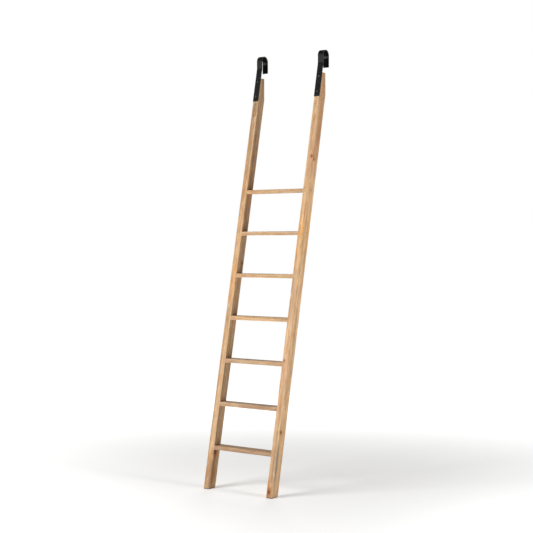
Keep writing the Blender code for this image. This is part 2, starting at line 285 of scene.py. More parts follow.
def pine(name, turn, centre, pith, knots=(), tint=(0.5, 1.0, 1.0), tilt=(0.0, 0.0), greying=0.0,
         seed=0.0, streaks=(), eyes=()):
    """Knotty pine. The grain runs along +Z after the turn, about a pith beside the piece's centre.

    Knots are (across, depth, along, radius, heading) from the centre, tint is a hue, saturation and
    value, streaks are (low, high, (across, depth), half width, colour, strength) patches, and eyes
    are (across, depth, along, half width, half length) figures of flat-sawn grain.
    """
    shader = Shader(name)
    object_place = shader.node("TexCoord", {}).outputs["Object"]
    moved = shader.scaled(object_place, (1, 1, 1), [-value for value in centre])
    turned = shader.node("Mapping", {"Vector": moved, "Rotation": turn}).outputs[0]
    across, depth, along = shader.node("SeparateXYZ", {0: turned}).outputs
    start = (seed, seed * 1.7, seed * 2.3)

    # the grain flows round each knot
    knot_distance, pushes = 9.0, 0.0
    grain_x, grain_y = across, depth
    for knot in knots:
        (move_x, move_y), push, distance = knot_field(shader, across, depth, along, knot)
        grain_x, grain_y = shader.math("ADD", grain_x, move_x), shader.math("ADD", grain_y, move_y)
        pushes = shader.math("ADD", pushes, push)
        knot_distance = shader.math("MINIMUM", knot_distance, distance)
    flow = shader.node("CombineXYZ", {0: grain_x, 1: grain_y, 2: along}).outputs[0]
    outlines = 0.0
    for eye in eyes:
        push, outline = eye_figure(shader, across, depth, along, eye)
        pushes = shader.math("ADD", pushes, push)
        outlines = shader.math("MAXIMUM", outlines, outline)

    # growth rings
    sway_x = shader.noise(flow, (3, 3, 1.6), start)
    sway_y = shader.noise(flow, (3, 3, 1.6), (seed + 40, seed, seed))
    from_pith_x = shader.total(grain_x, -pith[0], shader.math("MULTIPLY_ADD", sway_x, 0.026, -0.013),
                               shader.math("MULTIPLY", along, tilt[0]))
    from_pith_y = shader.total(grain_y, -pith[1], shader.math("MULTIPLY_ADD", sway_y, 0.026, -0.013),
                               shader.math("MULTIPLY", along, tilt[1]))
    radius = shader.math("ADD", shader.length(from_pith_x, from_pith_y), pushes)
    uneven = shader.noise(flow, (30, 30, 2), start, 3.0)
    count = shader.total(shader.math("DIVIDE", radius, RING_SPACING), shader.math("MULTIPLY", uneven, 1.6))
    phase = shader.math("FRACT", count)
    which = shader.math("FLOOR", count)
    ring_tone = shader.node("TexWhiteNoise", {"W": which}, noise_dimensions="1D").outputs["Value"]
    late = shader.math("MULTIPLY", shader.step(phase, 0.25, 0.88), shader.step(phase, 1.0, 0.90))
    late = shader.math("MULTIPLY", late, shader.math("MULTIPLY_ADD", ring_tone, 0.8, 0.2))

    # colour from wide to fine: clouds, bands along the grain, rings, patches, fibres
    fibre = shader.noise(flow, (1400, 1400, 22), start, 3.0, 0.65)
    band = shader.noise(flow, (85, 85, 1.1), start, 4.0, 0.62)
    wide = shader.noise(flow, (16, 16, 2.2), (seed + 9, seed, seed), 3.0)
    smoky = shader.noise(flow, (55, 55, 1.7), (seed + 23, seed, seed), 3.0)
    colour = shader.mix(shader.step(band, 0.34, 0.66), EARLYWOOD, MIDWOOD)
    colour = shader.mix(shader.math("MULTIPLY", shader.step(wide, 0.48, 0.72), 0.55), colour, HONEY)
    colour = shader.mix(shader.math("MULTIPLY", shader.step(wide, 0.5, 0.28), 0.72), colour, PINKISH)
    smoke = shader.math("MULTIPLY", shader.step(smoky, 0.50, 0.68), 0.56 + greying)
    colour = shader.mix(smoke, colour, GREYED)
    colour = shader.mix(shader.math("MULTIPLY", late, 0.62), colour, LATEWOOD)
    if eyes:
        colour = shader.mix(shader.math("MULTIPLY", outlines, 0.72), colour, EYE_LINE)
    for *place, tone, strength in streaks:
        mask = streak_mask(shader, across, depth, along, band, place)
        colour = shader.mix(shader.math("MULTIPLY", mask, strength), colour, tone)
    mottle = shader.noise(flow, (60, 60, 14), (seed + 31, seed, seed), 3.0, 0.6)
    colour = shader.mix(shader.step(mottle, 0.50, 0.70, 0.0, 0.46), colour, LATEWOOD)
    colour = shader.mix(shader.step(mottle, 0.46, 0.30, 0.0, 0.55), colour, EARLYWOOD)
    dashes = shader.step(shader.noise(flow, (900, 900, 70), (seed, 3, 5), 1.0), 0.66, 0.74)
    colour = shader.mix(shader.math("MULTIPLY", dashes, 0.35), colour, LATEWOOD)
    fleck = fleck_mask(shader, turned, seed)
    colour = shader.mix(shader.math("MULTIPLY", fleck, 0.75), colour, KNOT_DARK)
    fine = shader.step(fibre, 0.25, 0.75, 0.85, 1.10)
    grain = shader.node("CombineColor", {0: fine, 1: fine, 2: fine}).outputs[0]
    colour = shader.mix(1.0, colour, grain, "MULTIPLY")

    if knots:
        swirl = shader.math("MULTIPLY_ADD", shader.noise(turned, (70, 70, 60), start, 1.0), 0.5, -0.25)
        crack = shader.noise(turned, (500, 500, 260), start, 2.0, 0.7)
        knot = shader.math("ADD", knot_distance, swirl)
        wavy = shader.math("MULTIPLY", crack, 5.0)
        rings = shader.math("SINE", shader.math("MULTIPLY_ADD", knot, 26.0, wavy))
        heart = shader.mix(shader.step(rings, -1.2, 2.2), KNOT_HEART, KNOT_DARK)
        heart = shader.mix(shader.step(crack, 0.60, 0.68), heart, BARK)
        heart = shader.mix(shader.step(knot, 0.35, 0.05, 0.0, 0.6), heart, KNOT_DARK)
        halo = shader.mix(shader.step(knot, 3.4, 0.9, 0.0, 0.72), colour, KNOT_HALO)
        colour = shader.mix(shader.step(knot, 1.12, 0.92), halo, heart)
        rim = shader.math("MULTIPLY", shader.step(knot, 0.86, 1.0), shader.step(knot, 1.14, 1.02))
        rim = shader.math("MULTIPLY", rim, shader.step(crack, 0.38, 0.58, 0.15, 0.8))
        colour = shader.mix(rim, colour, BARK)

    worn_and_painted_light = shader.math("MULTIPLY", shader.attribute("wear"), shader.step(band, 0.3, 0.7, 0.2, 0.6))
    colour = shader.mix(worn_and_painted_light, colour, WORN_EDGE)
    hue = {"Hue": tint[0], "Saturation": tint[1], "Value": tint[2], "Color": colour}
    colour = shader.node("HueSaturation", hue).outputs[0]
    shader.feed(shader.surface.inputs["Base Color"], colour)
    dullness = shader.total(shader.math("MULTIPLY", fibre, 0.7), shader.math("MULTIPLY", late, -0.3))
    rough = shader.step(dullness, 0.0, 0.7, 0.52, 0.72)
    shader.feed(shader.surface.inputs["Roughness"], rough)
    shader.surface.inputs["Specular IOR Level"].default_value = 0.16
    relief = shader.total(shader.math("MULTIPLY", late, 0.5), shader.math("MULTIPLY", fibre, 0.5),
                          shader.math("MULTIPLY", dashes, -0.5), shader.math("MULTIPLY", fleck, -1.5))
    bump = shader.node("Bump", {"Height": relief, "Strength": 0.6, "Distance": 0.0004})
    shader.feed(shader.surface.inputs["Normal"], bump.outputs[0])
    return shader.material


def black_iron(name, seed=0.0, darkest=srgb(17, 16, 16), lightest=srgb(25, 24, 23), gloss=0.22):
    """Black powder-coated iron with a hammered ripple.

    Its wear goes from 1, a lighter grey that is partly edge wear and partly painted highlight, to -1,
    painted shade: near black and almost without reflection.
    """
    shader = Shader(name)
    place = shader.node("TexCoord", {}).outputs["Object"]
    start = (seed, seed, seed)
    peel = shader.noise(place, (1100, 1100, 1100), start, 2.0)
    ripple = shader.noise(place, (150, 150, 110), start, 2.0)
    cloud = shader.noise(place, (26, 26, 26), start, 4.0, 0.6)
    rub = shader.noise(place, (190, 190, 70), start, 6.0, 0.72)
    colour = shader.mix(shader.step(cloud, 0.3, 0.7), darkest, lightest)
    dust = shader.math("MULTIPLY", shader.step(rub, 0.53, 0.76), 0.35)
    colour = shader.mix(dust, colour, srgb(58, 56, 54))
    wear = shader.attribute("wear")
    # lighter grey: worn edges, plus painted highlight and painted light inside the hook
    worn_and_painted_light = shader.math("MULTIPLY", shader.math("MAXIMUM", wear, 0.0), shader.step(rub, 0.40, 0.62, 0.2, 0.9))
    colour = shader.mix(worn_and_painted_light, colour, srgb(106, 104, 102))
    # painted shade: near black where the attribute is below 0, and the specular below drops there too
    painted_shade = shader.step(wear, 0.0, -1.0)
    colour = shader.mix(painted_shade, colour, srgb(5, 5, 5))
    shader.feed(shader.surface.inputs["Base Color"], colour)
    rough = shader.step(shader.total(cloud, rub), 0.6, 1.4, 0.38, 0.60)
    shader.feed(shader.surface.inputs["Roughness"], rough)
    shader.feed(shader.surface.inputs["Specular IOR Level"], shader.step(wear, -1.0, 0.0, 0.03, gloss))
    relief = shader.total(shader.math("MULTIPLY", peel, 0.18), shader.math("MULTIPLY", ripple, 0.9))
    bump = shader.node("Bump", {"Height": relief, "Strength": 0.5, "Distance": 0.0009})
    shader.feed(shader.surface.inputs["Normal"], bump.outputs[0])
    return shader.material


def zinc_steel(name):
    """Zinc-plated steel of the hidden screws."""
    shader = Shader(name)
    place = shader.node("TexCoord", {}).outputs["Object"]
    haze = shader.noise(place, (400, 400, 400), (0, 0, 0), 4.0, 0.6)
    colour = shader.mix(shader.step(haze, 0.35, 0.65), srgb(168, 168, 172), srgb(205, 203, 196))
    shader.feed(shader.surface.inputs["Base Color"], colour)
    shader.feed(shader.surface.inputs["Roughness"], shader.step(haze, 0.3, 0.7, 0.26, 0.46))
    shader.surface.inputs["Metallic"].default_value = 1.0
    return shader.material


def rubber(name):
    """Dark rubber with a fine moulded texture and a little floor dust."""
    shader = Shader(name)
    place = shader.node("TexCoord", {}).outputs["Object"]
    fine = shader.noise(place, (1500, 1500, 1500), (0, 0, 0), 2.0)
    dust = shader.noise(place, (60, 60, 60), (3, 3, 3), 5.0, 0.7)
    colour = shader.mix(shader.step(dust, 0.45, 0.75), srgb(44, 41, 39), srgb(88, 82, 75))
    shader.feed(shader.surface.inputs["Base Color"], colour)
    shader.feed(shader.surface.inputs["Roughness"], shader.step(dust, 0.3, 0.7, 0.78, 0.92))
    bump = shader.node("Bump", {"Height": fine, "Strength": 0.5, "Distance": 0.0003})
    shader.feed(shader.surface.inputs["Normal"], bump.outputs[0])
    return shader.material


# ---------------------------------------------------------------- mesh work

def wave(x, y, z):
    """Smooth noise from 0 to 1."""
    return 0.5 + 0.5 * noise.noise(Vector((x, y, z)))


def rounded_section(half_u, half_v, radii, sides=(6, 8), corner_steps=4):
    """Outline of a rounded rectangle as (u, v, out_u, out_v, wear), counted from the +u +v corner."""
    corners = ((1, 1), (-1, 1), (-1, -1), (1, -1))
    points = []
    for index, (sign_u, sign_v) in enumerate(corners):
        radius = radii[index]
        centre_u = sign_u * (half_u - radius)
        centre_v = sign_v * (half_v - radius)
        for step in range(corner_steps + 1):
            share = step / corner_steps
            angle = (index + share) * pi / 2
            points.append((centre_u + radius * cos(angle), centre_v + radius * sin(angle),
                           cos(angle), sin(angle), sin(share * pi)))
        following = radii[(index + 1) % 4]
        next_u, next_v = corners[(index + 1) % 4]
        angle = (index + 1) * pi / 2
        start = points[-1]
        end = (next_u * (half_u - following) + following * cos(angle),
               next_v * (half_v - following) + following * sin(angle))
        count = sides[index % 2]
        for step in range(1, count):
            share = step / count
            points.append((start[0] + (end[0] - start[0]) * share, start[1] + (end[1] - start[1]) * share,
                           cos(angle), sin(angle), 0.0))
    return points


def loft(name, rings, wear):
    """A closed mesh through rings of points with the same count, with the wear of each point."""
    count = len(rings[0])
    points = [point for ring in rings for point in ring]
    faces = []
    for ring in range(len(rings) - 1):
        for index in range(count):
            after = (index + 1) % count
            first, second = ring * count, (ring + 1) * count
            faces.append((first + index, first + after, second + after, second + index))
    faces.append(tuple(reversed(range(count))))
    faces.append(tuple(range(len(points) - count, len(points))))
    mesh = bpy.data.meshes.new(name)
    mesh.from_pydata(points, [], faces)
    attribute = mesh.attributes.new("wear", "FLOAT", "POINT")
    attribute.data.foreach_set("value", [value for ring in wear for value in ring])
    solid = bmesh.new()
    solid.from_mesh(mesh)
    bmesh.ops.recalc_face_normals(solid, faces=solid.faces)
    solid.to_mesh(mesh)
    solid.free()
    return mesh


def show(name, mesh, material, nodes=()):
    """Add a piece to the ladder, standing for its CAD nodes."""
    piece = bpy.data.objects.new(name, mesh)
    bpy.context.scene.collection.objects.link(piece)
    mesh.shade_smooth()
    mesh.set_sharp_from_angle(angle=radians(40))
    mesh.materials.clear()
    mesh.materials.append(material)
    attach(piece, "root")
    if nodes:
        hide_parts(*nodes)
    return piece


def cone(solid, radius, start, end, sides=32):
    """Add a round rod between two points to a bmesh."""
    start, end = Vector(start), Vector(end)
    turn = (end - start).to_track_quat("Z", "Y").to_matrix().to_4x4()
    matrix = Matrix.Translation((start + end) / 2) @ turn
    bmesh.ops.create_cone(solid, cap_ends=True, segments=sides, radius1=radius, radius2=radius,
                          depth=(end - start).length, matrix=matrix)


def cuboid(solid, centre, size):
    """Add a box to a bmesh."""
    bmesh.ops.create_cube(solid, size=1, matrix=Matrix.Translation(centre) @ Matrix.Diagonal((*size, 1)))


def carve(mesh, cutters):
    """Cut helper solids out of a mesh, one helper mesh after another."""
    piece = bpy.data.objects.new(mesh.name, mesh)
    bpy.context.scene.collection.objects.link(piece)
    helpers = []
    for solid in cutters:
        cutter_mesh = bpy.data.meshes.new("cutter")
        solid.to_mesh(cutter_mesh)
        solid.free()
        cutter = bpy.data.objects.new("cutter", cutter_mesh)
        bpy.context.scene.collection.objects.link(cutter)
        boolean = piece.modifiers.new("cut", "BOOLEAN")
        boolean.object = cutter
        boolean.operation = "DIFFERENCE"
        boolean.solver = "EXACT"
        helpers.append(cutter)
    bpy.context.view_layer.update()
    evaluated = piece.evaluated_get(bpy.context.evaluated_depsgraph_get())
    carved = bpy.data.meshes.new_from_object(evaluated)
    for helper in [piece, *helpers]:
        bpy.data.objects.remove(helper)
    return carved


def turned_solid(name, profile, matrix, sides=40, socket=None):
    """A turned solid: the profile runs from pole to pole as (radius, height)."""
    solid = bmesh.new()
    verts = [solid.verts.new((radius, 0, height)) for radius, height in profile]
    edges = [solid.edges.new(pair) for pair in zip(verts, verts[1:])]
    bmesh.ops.spin(solid, geom=verts + edges, cent=(0, 0, 0), axis=(0, 0, 1), angle=2 * pi,
                   steps=sides, use_merge=True)
    bmesh.ops.remove_doubles(solid, verts=solid.verts, dist=0.000005)
    bmesh.ops.recalc_face_normals(solid, faces=solid.faces)
    mesh = bpy.data.meshes.new(name)
    solid.to_mesh(mesh)
    solid.free()
    if socket:
        mesh = carve(mesh, [socket])
    mesh.transform(matrix)
    return mesh


# ---------------------------------------------------------------- timber

def front_y(height):
    """Y of the ladder's sloping front at a height."""
    return LOWEST.y - LEVEL_DEPTH / 2 + (height - LOWEST.z) * SLOPE


def spaced(low, high, pitch, rounding):
    """Heights from end to end, closer together where the ends are rounded."""
    turn = [rounding * (1 - cos(step * pi / 8)) for step in range(5)]
    count = max(2, round((high - low - 2 * rounding) / pitch))
    inner = [low + rounding + (high - low - 2 * rounding) * step / count for step in range(1, count)]
    return [low + value for value in turn] + inner + [high - value for value in reversed(turn)]


def end_inset(distance, rounding):
    """How far a rounded end draws in, at a distance from the end."""
    if distance >= rounding:
        return 0.0
    return rounding - sqrt(max(0.0, rounding ** 2 - (rounding - distance) ** 2))


def edge_radius(position, edge, seed, least, most):
    """Radius of a sanded edge: uneven, with a few softer dents."""
    soft = wave(position * 2.3, edge * 7.1, seed)
    dent = max(0.0, wave(position * 19, edge * 3.7, seed + 5) - 0.68) / 0.32
    nick = max(0.0, wave(position * 47, edge * 5.3, seed + 9) - 0.76) / 0.24
    return least + (most - least) * (0.5 * soft + 0.5 * dent) + 0.0022 * nick


def hollow(x, y, z, seed):
    """How deep hand sanding has taken a face, in metres."""
    return 0.00022 * wave(x * 22, y * 22, z * 5 + seed) + 0.00010 * wave(x * 90, y * 90, z * 30 + seed)


def stringer_mesh(side):
    """One stringer as level sections from the foot to the top."""
    low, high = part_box(f"{side}_stringer")
    plumb = high[1]
    seed = 3.0 if side == "left" else 11.0
    centre_x = SIDES[side] * STRINGER_X
    kink = LOWEST.z + (plumb - LEVEL_DEPTH - front_y(LOWEST.z)) / SLOPE
    heights = spaced(low[2], high[2], STRINGER_SPACING, STRINGER_END)
    heights = [height for height in heights if abs(height - kink) > 0.004]
    offsets = (-KINK_SOFTNESS, -0.0012, 0, 0.0012, KINK_SOFTNESS)
    heights = sorted(heights + [kink + offset for offset in offsets])
    rings, wear = [], []
    for height in heights:
        inset = end_inset(min(height - low[2], high[2] - height), STRINGER_END)
        front = front_y(height)
        back = min(front + LEVEL_DEPTH, plumb)
        back -= 0.0005 * max(0.0, 1 - abs(height - kink) / KINK_SOFTNESS)
        radii = [edge_radius(height, edge, seed, 0.0011, 0.0030) for edge in range(4)]
        section = rounded_section(STRINGER_WIDTH / 2 - inset, (back - front) / 2 - inset, radii)
        ring = []
        for u, v, out_u, out_v, _ in section:
            x, y = centre_x + u, (front + back) / 2 + v
            sink = hollow(x, y, height, seed)
            ring.append((x - out_u * sink, y - out_v * sink, height))
        rings.append(ring)
        wear.append([max(point[4], inset / STRINGER_END) for point in section])
    return loft(f"{side}_stringer_timber", rings, wear)


def stringer_cutters(side):
    """Mortises, screw holes, counterbores and hook screw holes of one stringer."""
    sign = SIDES[side]
    mortises, holes, bores, hook_holes = (bmesh.new() for _ in range(4))
    mortise = TENON_END - INNER_HALF + GAP
    for rung in RUNGS:
        place = middle(rung)
        cuboid(mortises, (sign * (INNER_HALF + mortise / 2 - OVERRUN), place.y, place.z),
               (mortise + 2 * OVERRUN, TENON_DEPTH + 2 * GAP, TENON_HEIGHT + 2 * GAP))
        cone(holes, SCREW_HOLE, (sign * (INNER_HALF + mortise - OVERRUN), place.y, place.z),
             (sign * (OUTER_HALF - COUNTERBORE_DEPTH + OVERRUN), place.y, place.z), 16)
        cone(bores, plug_radius(rung, side) + PLUG_CLEARANCE,
             (sign * (OUTER_HALF - COUNTERBORE_DEPTH), place.y, place.z),
             (sign * (OUTER_HALF + 2 * OVERRUN), place.y, place.z), 40)
    for level in ("upper", "lower"):
        start, out = hook_screw_axis(side, level)
        cone(hook_holes, HOOK_SCREW_HOLE, start + out * 3 * OVERRUN, start - out * HOOK_SCREW_DEPTH, 20)
    return [mortises, holes, bores, hook_holes]


def plug_radius(rung, side):
    """Radius of a plug."""
    return extent(f"{rung}_{side}_plug").z / 2 + 0.0001


def hook_screw_axis(side, level):
    """Point where a hook screw's axis meets the strap's face, and the direction out of it."""
    out = Vector((0, -cos(LEAN), sin(LEAN)))
    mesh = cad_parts[f"{side}_hook_{level}_screw"].data
    tip = max((vertex.co for vertex in mesh.vertices), key=lambda place: place.y)
    return tip + out * HOOK_SCREW_LENGTH, out


FRONT_FACE = -LEVEL_DEPTH / 2 * cos(LEAN)
SIDE_FACE = STRINGER_WIDTH / 2

# Knots are (across, depth, height, radius, heading); patches are
# (lowest, highest, (across, depth), half width, colour, strength)
STRINGER_WOOD = {
    "left": dict(
        pith=(-0.012, 0.052), seed=4.0, tilt=(0.006, 0.012), greying=0.05, tint=(0.5, 1.02, 1.015),
        knots=((SIDE_FACE, -0.014, 0.203, 0.0085, 0), (SIDE_FACE, 0.012, 1.31, 0.004, 10)),
        streaks=((1.08, 1.32, (0, FRONT_FACE), 0.020, HONEY, 0.50),
                 (0.00, 0.17, (0.004, FRONT_FACE), 0.026, BROWN_AND_PAINTED_SHADE, 0.50),
                 (0.05, 0.24, (SIDE_FACE, -0.010), 0.016, BROWN_AND_PAINTED_SHADE, 0.40),
                 # the next patch, high on the inner side, is painted shade
                 (1.50, 2.00, (SIDE_FACE, 0.004), 0.026, BROWN_AND_PAINTED_SHADE, 0.45)),
        eyes=((0.002, FRONT_FACE, 2.236, 0.0090, 0.042),),
    ),
    "right": dict(
        pith=(-0.052, 0.046), seed=21.0, tilt=(-0.007, 0.008), greying=0.02, tint=(0.5, 1.04, 1.16),
        knots=((0.013, FRONT_FACE, 1.932, 0.0048, -90), (SIDE_FACE, -0.013, 1.916, 0.0042, 0),
               (SIDE_FACE, -0.0165, 0.356, 0.0055, 0),
               (-0.008, FRONT_FACE, 0.752, 0.003, -90), (-0.006, FRONT_FACE, 0.028, 0.007, -90)),
        # the first patch makes the top of the outer side darker brown
        streaks=((2.02, 2.46, (SIDE_FACE, 0.006), 0.024, BROWN_AND_PAINTED_SHADE, 0.62),
                 (1.90, 1.96, (SIDE_FACE, -0.021), 0.013, srgb(182, 124, 84), 0.5),
                 (1.56, 1.66, (0.012, FRONT_FACE), 0.007, srgb(190, 122, 74), 0.6),
                 (1.50, 1.55, (-0.014, FRONT_FACE), 0.008, srgb(196, 134, 74), 0.6),
                 (1.46, 1.54, (0.009, FRONT_FACE), 0.009, AMBER, 0.85),
                 (0.08, 0.27, (SIDE_FACE, -0.021), 0.010, srgb(120, 112, 108), 0.75),
                 (-0.02, 0.10, (-0.010, FRONT_FACE), 0.018, srgb(176, 108, 62), 0.6)),
    ),
}


def along_grain(height, centre):
    """Distance along a stringer from its centre to a height."""
    return (height - centre) / cos(LEAN)


def stringer_pine(side, centre):
    """The pine of one stringer, with its own knots and patches."""
    wood = dict(STRINGER_WOOD[side])
    wood["knots"] = [(x, y, along_grain(z, centre[2]), radius, heading)
                     for x, y, z, radius, heading in wood["knots"]]
    wood["streaks"] = [(along_grain(low, centre[2]), along_grain(high, centre[2]), *rest)
                       for low, high, *rest in wood["streaks"]]
    wood["eyes"] = [(x, y, along_grain(z, centre[2]), *halves) for x, y, z, *halves in wood.get("eyes", ())]
    return pine(f"{side}_stringer_pine", (LEAN, 0, 0), centre, **wood)


def make_stringers():
    """Both stringers, with their mortises and holes."""
    for side in SIDES:
        name = f"{side}_stringer"
        height = middle(name).z
        centre = (SIDES[side] * STRINGER_X, front_y(height) + LEVEL_DEPTH / 2, height)
        mesh = carve(stringer_mesh(side), stringer_cutters(side))
        show(f"{name}_timber", mesh, stringer_pine(side, centre), [name])


def rung_mesh(rung):
    """One tread: level sections across the ladder, with a stub tenon at each end."""
    place = middle(rung)
    seed = place.z * 13
    shoulder = INNER_HALF - GAP
    body = spaced(-shoulder, shoulder, RUNG_SPACING, RUNG_END)
    rings, wear = [], []

    def add_ring(x, half_depth, half_height, radii, shear, sanded):
        ring, worn_and_painted_light = [], []
        for v, w, out_v, out_w, edge in rounded_section(half_depth, half_height, radii, (8, 5)):
            y, z = place.y + v + w * shear, place.z + w
            sink = hollow(x, y, z, seed) * sanded
            ring.append((x, y - out_v * sink, z - out_w * sink))
            worn_and_painted_light.append(edge * sanded)
        rings.append(ring)
        wear.append(worn_and_painted_light)

    half_depth, half_height = TENON_DEPTH / 2, TENON_HEIGHT / 2
    tenon = (half_depth, half_height, [TENON_CHAMFER] * 4, 0.0, 0.0)
    chamfered = (half_depth - TENON_CHAMFER, half_height - TENON_CHAMFER, [TENON_CHAMFER / 2] * 4, 0.0, 0.0)
    add_ring(-TENON_END, *chamfered)
    add_ring(-TENON_END + TENON_CHAMFER, *tenon)
    add_ring(-shoulder, *tenon)
    for x in body:
        inset = end_inset(shoulder - abs(x), RUNG_END) * 0.5
        stepped = max(0.0, 1 - (x / 0.13) ** 2)
        radii = [edge_radius(x * 3, edge, seed, 0.0011, 0.0024) for edge in range(4)]
        radii[1] += 0.0016 * stepped
        add_ring(x, LEVEL_DEPTH / 2 - inset, RUNG_THICKNESS / 2 - inset, radii, SLOPE, 1.0)
    add_ring(shoulder, *tenon)
    add_ring(TENON_END - TENON_CHAMFER, *tenon)
    add_ring(TENON_END, *chamfered)
    return loft(f"{rung}_board", rings, wear)


RUNG_TINTS = ((0.497, 1.00, 0.83), (0.500, 0.98, 0.85), (0.500, 0.92, 0.94), (0.503, 1.06, 1.05),
              (0.502, 1.01, 1.00), (0.500, 0.98, 0.94), (0.500, 0.98, 0.95))


def make_rungs():
    """All treads, each sawn from another board."""
    for index, rung in enumerate(RUNGS):
        place = middle(rung)
        pith = (0.030 + 0.012 * (index % 3), -0.050 + 0.024 * (index % 4))
        knot = (-0.011, -0.012 + 0.006 * (index % 3), 0.17 - 0.07 * index, 0.0045, 180)
        knots = [knot] if index % 2 else []
        material = pine(f"{rung}_pine", (0, -pi / 2, 0), place, pith, knots, RUNG_TINTS[index],
                        (0.012, -0.009), 0.15 + 0.1 * (index < 3), 50 + 7.3 * index)
        holes = bmesh.new()
        for sign in SIDES.values():
            screw = f"{rung}_right_screw"
            tip = sign * (abs(middle(screw).x) - extent(screw).x / 2 - GAP)
            end = sign * (TENON_END + 2 * OVERRUN)
            cone(holes, SCREW_HOLE, (tip, place.y, place.z), (end, place.y, place.z), 16)
        show(f"{rung}_board", carve(rung_mesh(rung), [holes]), material, [rung])


def make_plugs():
    """Wooden plugs over the rung screws, sanded flush."""
    for side, sign in SIDES.items():
        for index, rung in enumerate(RUNGS):
            name = f"{rung}_{side}_plug"
            place = middle(name)
            radius = plug_radius(rung, side)
            length = extent(name).x
            profile = [(0, 0), (radius * 0.5, -0.00002), (radius - PLUG_RIM, -0.00005), (radius, -PLUG_RIM),
                       (radius, -length + PLUG_CHAMFER), (radius - PLUG_CHAMFER, -length), (0, -length)]
            matrix = Matrix.Translation((sign * (OUTER_HALF - 0.0001), place.y, place.z))
            matrix = matrix @ Matrix.Rotation(sign * pi / 2, 4, "Y")
            material = pine(f"{name}_pine", (LEAN * 0.6 + index * 0.1, 0, 0), place, (0.05, 0.02), (),
                            (0.497, 0.96, 0.93), (0, 0), 0.1, 90 + 3.1 * index + sign)
            show(f"{name}_face", turned_solid(name, profile, matrix), material, [name])


# ---------------------------------------------------------------- iron

def hook_path(side):
    """Middle of the strap in side view, as (y, z, angle of its outer side)."""
    low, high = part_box(f"{side}_hook")
    half = STRAP_THICKNESS / 2
    stand_off = (GAP + half) / cos(LEAN)
    upright = high[1] - 2 * HOOK_RADIUS + half
    start_z = low[2] + half * sin(LEAN)
    foot_y = front_y(start_z) - stand_off
    corner = start_z + (upright - foot_y) / SLOPE
    reach = KNEE_RADIUS * tan(LEAN / 2)
    below = corner - reach * cos(LEAN)
    path = []
    for step in range(STRAP_STEPS):
        height = start_z + (below - start_z) * step / STRAP_STEPS
        path.append((foot_y + (height - start_z) * SLOPE, height, pi - LEAN))
    for step in range(KNEE_STEPS + 1):
        angle = pi - LEAN + LEAN * step / KNEE_STEPS
        path.append((upright - KNEE_RADIUS - KNEE_RADIUS * cos(angle),
                     corner + reach - KNEE_RADIUS * sin(angle), angle))
    bend = HOOK_RADIUS - half
    centre_z = high[2] - HOOK_RADIUS
    for step in range(1, LEG_STEPS):
        path.append((upright, corner + reach + (centre_z - corner - reach) * step / LEG_STEPS, pi))
    for step in range(BEND_STEPS + 1):
        angle = pi - pi * step / BEND_STEPS
        path.append((upright + bend + bend * cos(angle), centre_z + bend * sin(angle), angle))
    tip = hook_tip(side)
    for step in range(1, TIP_STEPS + 1):
        path.append((upright + 2 * bend, centre_z + (tip - centre_z) * step / TIP_STEPS, 0.0))
    return path


def hook_tip(side):
    """Height of the back leg's end, read from the CAD node's mesh."""
    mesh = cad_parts[f"{side}_hook"].data
    back = max(vertex.co.y for vertex in mesh.vertices)
    return min(vertex.co.z for vertex in mesh.vertices if vertex.co.y > back - STRAP_THICKNESS)


def hook_mesh(side):
    """One bent strap with soft edges and a slightly uneven face."""
    half_width = extent(f"{side}_hook").x / 2
    centre_x = middle(f"{side}_hook").x
    seed = 2.0 if side == "left" else 8.0
    path = hook_path(side)
    first, last = Vector(path[0][:2]), Vector(path[-1][:2])
    bend_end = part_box(f"{side}_hook")[1][2] - HOOK_RADIUS
    rings, wear = [], []

    def add_ring(y, z, angle, shrink):
        section = rounded_section(half_width - shrink, STRAP_THICKNESS / 2 - shrink * 0.6,
                                  [STRAP_EDGE] * 4, (10, 2), 3)
        # the inside is painted shade, near black, except for a band of painted light on the back leg under
        # the bend
        painted_lit_band = exp(-((z - bend_end + 0.008) / 0.006) ** 2) if angle == 0.0 else 0.0
        inside = 1.7 * painted_lit_band - 1.0 if angle < pi - 0.05 else 0.0
        ring, worn_and_painted_light = [], []
        for u, w, out_u, out_w, edge in section:
            sink = 0.00012 * wave(u * 55, y * 45 + seed, z * 45)
            w -= out_w * sink
            u -= out_u * sink
            ring.append((centre_x + u, y + w * cos(angle), z + w * sin(angle)))
            # edges and ends worn lighter, and a painted highlight along the strap's narrow sides
            edge_wear_and_painted_highlight = max(edge, min(1.0, shrink / 0.0006), 0.6 * abs(out_u))
            worn_and_painted_light.append(inside if out_w < -0.9 else edge_wear_and_painted_highlight)
        rings.append(ring)
        wear.append(worn_and_painted_light)

    for y, z, angle in with_soft_ends(path):
        distance = min((Vector((y, z)) - first).length, (Vector((y, z)) - last).length)
        add_ring(y, z, angle, end_inset(distance, STRAP_END))
    return loft(f"{side}_hook_strap", rings, wear)


def with_soft_ends(path):
    """Add points close to both ends of a path, so that its ends can be rounded."""
    def near(end, inner):
        start, other = Vector(end[:2]), Vector(inner[:2])
        along = (other - start).normalized()
        offsets = [STRAP_END * (1 - cos(step * pi / 8)) for step in range(5)]
        return [(*(start + along * offset), end[2]) for offset in offsets]
    return near(path[0], path[1]) + path[1:-1] + near(path[-1], path[-2])[::-1]


def make_hooks():
    """Both bent straps, drilled for their screws."""
    for side in SIDES:
        holes = bmesh.new()
        for level in ("upper", "lower"):
            start, out = hook_screw_axis(side, level)
            cone(holes, HOOK_SCREW_HOLE, start + out * 3 * OVERRUN, start - out * 2 * STRAP_THICKNESS, 24)
        mesh = carve(hook_mesh(side), [holes])
        material = black_iron(f"{side}_hook_iron", 1.0 if side == "left" else 5.0)
        show(f"{side}_hook_strap", mesh, material, [f"{side}_hook"])


